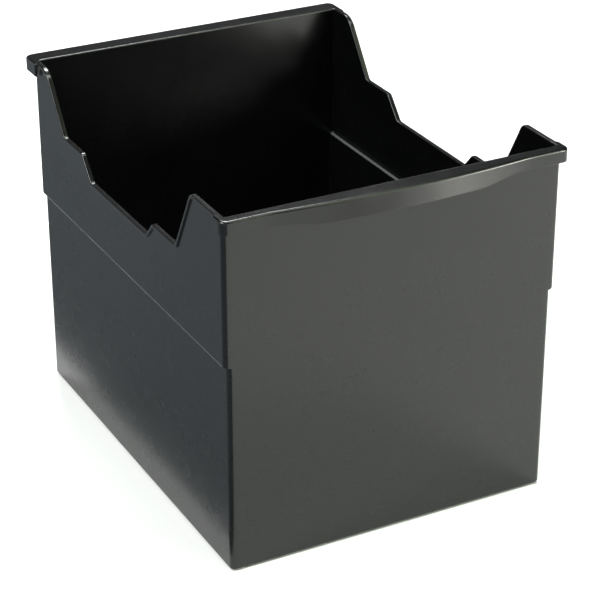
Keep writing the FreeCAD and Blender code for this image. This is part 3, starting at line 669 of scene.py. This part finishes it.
class Shader:
    """A new material or world, and the one method that makes its nodes."""

    def __init__(self, name, family="materials"):
        self.owner = getattr(bpy.data, family).new(name)
        self.owner.use_nodes = True
        self.tree = self.owner.node_tree
        self.tree.nodes.clear()
        self.place = self.node("ShaderNodeTexCoord", output="Object")

    def node(self, kind, settings=None, values=None, output=0):
        """A node of a kind, its settings made first, its sockets given values or links."""
        made = self.tree.nodes.new(kind)
        for name, value in (settings or {}).items():
            if name == "stops":
                ramp = made.color_ramp.elements
                for index, (spot, shade) in enumerate(value):
                    stop = ramp[index] if index < 2 else ramp.new(spot)
                    stop.position, stop.color = spot, (shade, shade, shade, 1)
            else:
                setattr(made, name, value)
        for name, value in (values or {}).items():
            if isinstance(value, Value):
                self.tree.links.new(value.socket, made.inputs[name])
            else:
                made.inputs[name].default_value = value
        return Value(self, made.outputs[output]) if len(made.outputs) else made

    def noise(self, scale, detail=2.0, roughness=0.5, stretch=None, distortion=0.0):
        """Cloudy noise of a scale per metre, optionally stretched along an axis."""
        place = self.place
        if stretch:
            place = self.node("ShaderNodeMapping", None, {"Vector": place, "Scale": stretch})
        return self.node("ShaderNodeTexNoise", None, {
            "Vector": place, "Scale": scale, "Detail": detail, "Roughness": roughness,
            "Distortion": distortion})

    def ramp(self, value, *stops):
        """A value read through a ramp of (place, level) stops."""
        return self.node("ShaderNodeValToRGB", {"stops": stops}, {"Fac": value})

    def blend(self, factor, first, second):
        """From the first colour to the second as the factor goes from 0 to 1."""
        first, second = (
            c if isinstance(c, Value) else (*c, 1.0) for c in (first, second))
        return self.node("ShaderNodeMix", {"data_type": "RGBA"},
                         {0: factor, 6: first, 7: second}, output=2)

    def facing_up(self):
        """1 on faces that look up, 0 on upright ones."""
        normal = self.node("ShaderNodeNewGeometry", output="Normal")
        return self.node("ShaderNodeSeparateXYZ", None, {"Vector": normal}, output="Z")

    def bumps(self, *layers):
        """Bump nodes one on another; each layer is (height, distance in metres, strength)."""
        normal = None
        for height, distance, strength in layers:
            values = {"Height": height, "Distance": distance, "Strength": strength}
            if normal:
                values["Normal"] = normal
            normal = self.node("ShaderNodeBump", None, values)
        return normal

    def finish(self, base, roughness, normal, **constants):
        """The surface shader and the material's output."""
        values = {"Base Color": base, "Roughness": roughness, "Normal": normal}
        values.update({name.replace("_", " "): value for name, value in constants.items()})
        surface = self.node("ShaderNodeBsdfPrincipled", None, values)
        self.node("ShaderNodeOutputMaterial", None, {"Surface": surface})
        return self.owner


def lighter(shade, times, add=0.0):
    """A colour scaled and raised."""
    return tuple(min(1.0, part * times + add) for part in shade)


def tray_plastic(finish):
    """Glossy charcoal moulding: a faint flow pattern, fine grain, a slow waviness that bends its
    reflections, hair scratches, a little dust on what faces up, and a paler tint painted along the
    side walls' ledges as a highlight."""
    s = Shader("tray plastic")
    shade = tuple(finish.plastic)
    flow = s.noise(9.0, 3.0, 0.55, (1, 1, 0.35), 0.8)
    speck = s.noise(2600.0, 2.0, 0.6)
    base = s.blend(s.ramp(flow, (0.3, 0), (0.75, 1)), lighter(shade, 0.86), lighter(shade, 1.16))
    base = s.blend(s.ramp(speck, (0.45, 0), (0.8, 1)) * 0.5, base, lighter(shade, 1.7))
    lint = s.ramp(s.noise(420.0, 4.0, 0.7), (0.52, 0), (0.72, 1))
    cloud = s.ramp(s.noise(14.0, 3.0), (0.4, 0.25), (0.7, 1))
    dust = s.ramp(s.facing_up(), (0.55, 0), (0.95, 1)) * lint * cloud
    base = s.blend(dust * 0.035, base, (0.30, 0.29, 0.27))
    # painted highlight: the marked ledge rings are tinted paler, drawing a bright line along the
    # side walls' ledges
    painted_highlight = s.node("ShaderNodeAttribute", {"attribute_name": "painted_highlight"}, output="Fac")
    base = s.blend(painted_highlight * 0.5, base, PAINTED_HIGHLIGHT_TINT)
    scratch = s.ramp(s.noise(95.0, 5.0, 0.75, (1, 1, 22)), (0.60, 0), (0.68, 1))
    other = s.ramp(s.noise(70.0, 5.0, 0.75, (18, 18, 1)), (0.63, 0), (0.70, 1))
    scuffs = s.ramp(s.noise(22.0, 4.0, 0.6), (0.45, 0), (0.75, 1))
    handled = s.node("ShaderNodeAttribute", {"attribute_name": "handled"}, output="Fac")
    gloss = (finish.plastic_gloss + s.ramp(s.noise(34.0, 4.0, 0.6), (0.2, 0), (0.9, 1)) * 0.07
             + (scratch + other) * scuffs * 0.05 + dust * 0.08 - handled * 0.05)
    normal = s.bumps((s.noise(7.0, 2.0, 0.4), 0.0016, 0.16),
                     (s.noise(3400.0, 2.0, 0.5), 0.00002, 0.10),
                     ((scratch + other) * scuffs, 0.000015, 0.12))
    return s.finish(base, gloss, normal, IOR=1.47)


def grained_plastic(name, shade, roughness, grain, depth):
    """Matt moulding: a pebbled grain, mottled tone, and rubbed places that shine a little."""
    s = Shader(name)
    cells = s.node("ShaderNodeTexVoronoi", {"feature": "SMOOTH_F1"},
                   {"Vector": s.place, "Scale": grain, "Smoothness": 0.6}, output="Distance")
    fine = s.noise(grain * 2.2, 3.0, 0.6)
    mottle = s.noise(38.0, 4.0, 0.6)
    rubbed_and_painted_highlight = s.ramp(s.noise(16.0, 5.0, 0.65, (1, 1, 5)), (0.52, 0), (0.75, 1))
    base = s.blend(s.ramp(mottle, (0.3, 0), (0.8, 1)), lighter(shade, 0.85), lighter(shade, 1.2))
    base = s.blend(cells * 0.35, base, lighter(shade, 1.45, 0.004))
    lint = s.ramp(s.noise(380.0, 4.0, 0.7), (0.55, 0), (0.75, 1))
    dust = s.ramp(s.facing_up(), (0.5, 0), (0.95, 1)) * lint
    base = s.blend(dust * 0.12, base, (0.32, 0.31, 0.29))
    gloss = roughness + cells * 0.12 - rubbed_and_painted_highlight * 0.10 + dust * 0.2
    normal = s.bumps((cells, depth, 0.45), (fine, depth * 0.4, 0.3),
                     (s.noise(9.0, 2.0), 0.0012, 0.10))
    return s.finish(base, gloss, normal, IOR=1.49)


def zinc_plate(name, shade, roughness, along):
    """Bright plated steel: rolling lines along one axis, cloudy spangle and grey handling marks."""
    s = Shader(name)
    lines = s.noise(900.0, 4.0, 0.7, along)
    broad = s.noise(160.0, 4.0, 0.6, along)
    spangle = s.node("ShaderNodeTexVoronoi", None, {"Vector": s.place, "Scale": 260.0},
                     output="Color")
    cloud = s.noise(24.0, 4.0, 0.6)
    base = s.blend(s.ramp(cloud, (0.3, 0), (0.75, 1)), lighter(shade, 0.72), lighter(shade, 1.12))
    base = s.blend(spangle * 0.10, base, lighter(shade, 1.3))
    base = s.blend(s.ramp(lines, (0.35, 0.35), (0.7, 0)), base, lighter(shade, 0.6))
    gloss = roughness + lines * 0.18 + broad * 0.10 - cloud * 0.05
    normal = s.bumps((lines, 0.00002, 0.30), (broad, 0.00004, 0.25))
    return s.finish(base, gloss, normal, Metallic=1.0)


def drawn_steel(name, shade, roughness):
    """Drawn bright steel: hoops and fine lines along X, with a trace of oil darkening."""
    s = Shader(name)
    hoops = s.noise(1500.0, 3.0, 0.7, (1, 0.03, 0.03))
    hairs = s.noise(1800.0, 3.0, 0.7, (0.02, 1, 1))
    oil = s.ramp(s.noise(130.0, 4.0, 0.6), (0.45, 0), (0.8, 1))
    base = s.blend(oil * 0.55, lighter(shade, 1.08), lighter(shade, 0.42))
    gloss = roughness + hoops * 0.12 + hairs * 0.10 + oil * 0.08
    normal = s.bumps((hoops, 0.000012, 0.25), (hairs, 0.00001, 0.25))
    return s.finish(base, gloss, normal, Metallic=1.0)


def soft_rubber(name, shade):
    """Black rubber: a dull skin with fine pitting, bloom and picked-up dust."""
    s = Shader(name)
    pits = s.noise(2200.0, 4.0, 0.65)
    bloom = s.ramp(s.noise(210.0, 5.0, 0.65), (0.42, 0), (0.78, 1))
    base = s.blend(bloom * 0.5, lighter(shade, 0.9), lighter(shade, 1.6, 0.01))
    gloss = 0.72 + bloom * 0.14 + pits * 0.08
    normal = s.bumps((pits, 0.00005, 0.5), (s.noise(300.0, 3.0), 0.0002, 0.2))
    return s.finish(base, gloss, normal)


def pale_floor(shade):
    """A plain pale sheet with the very slightest mottle."""
    s = Shader("pale floor")
    mottle = s.noise(3.0, 3.0, 0.5)
    base = s.blend(s.ramp(mottle, (0.3, 0), (0.7, 1)), lighter(shade, 0.99), lighter(shade, 1.0))
    normal = s.bumps((s.noise(900.0, 2.0), 0.00002, 0.05))
    return s.finish(base, 0.6 + mottle * 0.05, normal)


def dim_card(tint, near, far):
    """A glowing card for reflections: its light grows with the distance from the tray's wall."""
    s = Shader("dim card")
    across = s.node("ShaderNodeSeparateXYZ", None, {"Vector": s.place}, output="X")
    level = s.ramp(across * -2.0, (0.24, near), (0.50, far))
    glow = s.blend(level, (0, 0, 0), tint)
    surface = s.node("ShaderNodeEmission", None, {"Color": glow, "Strength": 1.0})
    s.node("ShaderNodeOutputMaterial", None, {"Surface": surface})
    return s.owner


def dim_room(tint, above, level):
    """A room that is dim above and as pale as the floor at the level of the eye."""
    s = Shader("room", "worlds")
    way = s.node("ShaderNodeTexCoord", output="Generated")
    height = s.node("ShaderNodeSeparateXYZ", None, {"Vector": way}, output="Z")
    glow = s.blend(s.ramp(height, (0.06, 0), (0.24, 1)), (level,) * 3, lighter(tint, above))
    surface = s.node("ShaderNodeBackground", None, {"Color": glow, "Strength": 1.0})
    s.node("ShaderNodeOutputWorld", None, {"Surface": surface})
    return s.owner


# ----------------------------------------------------------------------------- operators


class CARDTRAY_OT_box(bpy.types.Operator):
    """Make the moulded box with its stepped rim, lips, ledges, rails, ribs and bosses"""

    bl_idname = "cardtray.box"
    bl_label = "Moulded box"

    def execute(self, context):
        size = in_mm(context.scene.card_tray)
        skin, marks = box_skin(size)
        extra = floor_fittings(size)
        plain = sum(len(points) for points, quads, caps in extra)
        material = tray_plastic(context.scene.card_tray_finishes)
        make_piece("moulded_box", [skin, *extra], material, "tray",
                   ["tray_body"], 48.0,
                   {name: np.concatenate([marks[name], np.zeros(plain)]) for name in marks})
        return {"FINISHED"}


class CARDTRAY_OT_feet(bpy.types.Operator):
    """Make the four soft feet"""

    bl_idname = "cardtray.feet"
    bl_label = "Soft feet"

    def execute(self, context):
        material = soft_rubber("foot rubber", context.scene.card_tray_finishes.rubber)
        for place in ("front_left", "front_right", "back_left", "back_right"):
            node = place + "_foot"
            make_piece(place + "_pad", [foot_skin(*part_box(node))], material, "tray",
                       [node])
        return {"FINISHED"}


class CARDTRAY_OT_track(bpy.types.Operator):
    """Make the steel track and its two screws"""

    bl_idname = "cardtray.track"
    bl_label = "Track and screws"

    def execute(self, context):
        finish = context.scene.card_tray_finishes
        softened_copy("track_strip", "guide_track",
                      zinc_plate("track steel", finish.steel, 0.34, (1, 0.02, 1)),
                      "tray", 0.25, 2)
        reach = TRACK_HIGH.y * PER_METRE - SCREW_INSET
        skins = [screw_head_skin(side * reach, TRACK_HIGH.z * PER_METRE) for side in (-1, 1)]
        make_piece("strip_screws", skins, zinc_plate("screw steel", finish.steel, 0.30, (1, 1, 1)),
                   "tray", ["track_screws"], 35.0)
        return {"FINISHED"}


class CARDTRAY_OT_carriage(bpy.types.Operator):
    """Make the sliding carriage with its pins, clips and spring"""

    bl_idname = "cardtray.carriage"
    bl_label = "Carriage"

    def execute(self, context):
        finish = context.scene.card_tray_finishes
        softened_copy("carriage_moulding", "follower_carriage",
                      grained_plastic("carriage plastic", finish.carriage, 0.46, 1500.0, 0.00004),
                      "carriage", 0.35)
        steel = drawn_steel("pin steel", finish.steel, 0.20)
        for name, node in (("long_pin", "hinge_pin"), ("short_pin", "brake_pin")):
            make_piece(name, [pin_skin(*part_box(node))], steel, "carriage", [node])
        low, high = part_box("hinge_clips")
        pin_low, pin_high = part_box("hinge_pin")
        middle = (low + high) * PER_METRE / 2
        outer, bore = (high.z - low.z) * PER_METRE / 2, (pin_high.z - pin_low.z) * PER_METRE / 2
        skins = [clip_skin(side, bore, outer, np.array([side * (high.x * PER_METRE - 0.8), middle.y,
                                                        middle.z]), 0.8) for side in (-1, 1)]
        make_piece("push_rings", skins, drawn_steel("ring steel", finish.steel, 0.28),
                   "carriage", ["hinge_clips"], 40.0)
        make_piece("wound_spring", [spring_skin(*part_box("brake_spring"))],
                   drawn_steel("spring steel", lighter(finish.steel, 0.6), 0.26),
                   "carriage", ["brake_spring"])
        return {"FINISHED"}


class CARDTRAY_OT_support(bpy.types.Operator):
    """Make the leaning plate that the cards rest on"""

    bl_idname = "cardtray.support"
    bl_label = "Card support"

    def execute(self, context):
        finish = context.scene.card_tray_finishes
        softened_copy("card_support", "support_plate",
                      grained_plastic("support plastic", finish.support, 0.42, 1300.0, 0.00005),
                      "support", 0.5)
        return {"FINISHED"}


class CARDTRAY_OT_brake(bpy.types.Operator):
    """Make the brake lever and its rubber shoe"""

    bl_idname = "cardtray.brake"
    bl_label = "Brake"

    def execute(self, context):
        finish = context.scene.card_tray_finishes
        softened_copy("press_lever", "brake_lever",
                      grained_plastic("lever plastic", finish.lever, 0.40, 1900.0, 0.00003),
                      "brake", 0.3)
        low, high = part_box("brake_shoe")
        make_piece("rubber_shoe", [rounded_block(low * PER_METRE, high * PER_METRE, 0.3)],
                   soft_rubber("shoe rubber", finish.rubber), "brake",
                   ["brake_shoe"])
        return {"FINISHED"}


def aimed_camera(stage):
    """A camera that looks at its aim from the stage's azimuth, elevation and distance."""
    turn, rise = math.radians(stage.azimuth), math.radians(stage.elevation)
    back = np.array([math.sin(turn) * math.cos(rise), -math.cos(turn) * math.cos(rise),
                     math.sin(rise)])
    lens = bpy.data.cameras.new("camera")
    lens.lens = stage.lens
    lens.sensor_width = 36.0
    lens.clip_start, lens.clip_end = 0.05, 50.0
    camera = new_object("camera", lens)
    camera.location = np.array(stage.aim) + back * stage.distance
    camera.rotation_euler = (math.pi / 2 - rise, 0.0, turn)
    return camera


def softbox(name, power, place, target, size, tint=(1, 1, 1)):
    """A rectangular light that stands at a place and looks at a target."""
    light = bpy.data.lights.new(name, "AREA")
    light.shape = "RECTANGLE"
    light.size, light.size_y = size
    light.energy = power
    light.color = tint
    lamp = new_object(name, light)
    lamp.location = place
    way = np.array(target, float) - np.array(place, float)
    flat = math.hypot(way[0], way[1])
    lamp.rotation_euler = (math.atan2(flat, -way[2]), 0.0, math.atan2(-way[0], way[1]))


class CARDTRAY_OT_stage(bpy.types.Operator):
    """Make the floor, the dim card that the left wall mirrors, the camera, lights and room"""

    bl_idname = "cardtray.stage"
    bl_label = "Stage"

    def execute(self, context):
        stage = context.scene.card_tray_stage
        reach, lines = 1.7, 9
        x, y = np.meshgrid(*[np.linspace(-reach, reach, lines)] * 2)
        mesh = bpy.data.meshes.new("floor_sheet")
        mesh.from_pydata(np.stack([x, y, 0 * x], -1).reshape(-1, 3), [],
                         grid_quads(lines, lines, close_columns=False).tolist())
        mesh.materials.append(pale_floor(tuple(stage.floor)))
        floor = new_object("floor_sheet", mesh)

        card = bpy.data.meshes.new("dim_card")
        low_x, high_x, low_y, high_y, level = -3.0, -0.125, -0.9, 3.0, 0.0005
        card.from_pydata([(low_x, low_y, level), (high_x, low_y, level), (high_x, high_y, level),
                          (low_x, high_y, level)], [], [(0, 1, 2, 3)])
        card.materials.append(dim_card((0.84, 0.95, 1.0), stage.flag * 0.6, stage.flag))
        flag = new_object("dim_card", card)
        # the card is hidden from the camera, from diffuse light and from shadows: it is a glowing
        # sheet, no lamp, that paints a dim reflection into the left wall
        for ray in ("camera", "diffuse", "transmission", "volume_scatter", "shadow"):
            setattr(flag, "visible_" + ray, False)

        context.scene.camera = aimed_camera(stage)
        softbox("front light", stage.key, (1.5, -2.2, 1.7), (0.4, -0.5, 0.0), (1.4, 1.4),
                (0.86, 1.0, 0.68))
        softbox("top light", stage.top, (0.0, -0.7, 3.2), (0.0, -0.4, 0.0), (3.2, 0.7),
                (0.90, 1.0, 0.88))
        softbox("low light", stage.low, (1.5, -1.65, 0.32), (0.0, -0.15, 0.22), (0.7, 0.45),
                (1.0, 0.99, 0.93))
        softbox("side light", stage.side, (-2.2, -0.2, 2.0), (-0.4, 0.0, 0.0), (1.6, 1.6))
        softbox("edge light", stage.back, (0.5, 1.2, 1.9), (0.0, 0.0, 0.2), (0.6, 0.6))

        context.scene.world = dim_room((0.86, 0.88, 1.0), stage.sky, stage.horizon)
        context.scene.view_settings.view_transform = "Standard"
        context.scene.view_settings.look = "None"
        return {"FINISHED"}


class CARDTRAY_PT_panel(bpy.types.Panel):
    """The tray's operators and their settings"""

    bl_label = "Card file tray"
    bl_idname = "CARDTRAY_PT_panel"
    bl_space_type = "VIEW_3D"
    bl_region_type = "UI"
    bl_category = "Card File"

    def draw(self, context):
        column = self.layout.column()
        for operator in STEPS:
            column.operator(operator.bl_idname, text=operator.bl_label)
        for group in ("card_tray", "card_tray_finishes", "card_tray_stage"):
            settings = getattr(context.scene, group)
            box = self.layout.box()
            for prop in settings.bl_rna.properties:
                if prop.identifier not in ("rna_type", "name"):
                    box.prop(settings, prop.identifier)


STEPS = (CARDTRAY_OT_stage, CARDTRAY_OT_box, CARDTRAY_OT_feet, CARDTRAY_OT_track,
         CARDTRAY_OT_carriage, CARDTRAY_OT_support, CARDTRAY_OT_brake)
GROUPS = {"card_tray": CardTraySizes, "card_tray_finishes": CardTrayFinishes,
          "card_tray_stage": CardTrayStage}


def register():
    for made in (*GROUPS.values(), *STEPS, CARDTRAY_PT_panel):
        bpy.utils.register_class(made)
    for name, group in GROUPS.items():
        setattr(bpy.types.Scene, name, PointerProperty(type=group))


def unregister():
    for name in GROUPS:
        delattr(bpy.types.Scene, name)
    for made in (CARDTRAY_PT_panel, *reversed(STEPS), *reversed(list(GROUPS.values()))):
        bpy.utils.unregister_class(made)


def main():
    register()
    for step in STEPS:
        family, name = step.bl_idname.split(".")
        getattr(getattr(bpy.ops, family), name)()


if __name__ == "__main__":
    main()
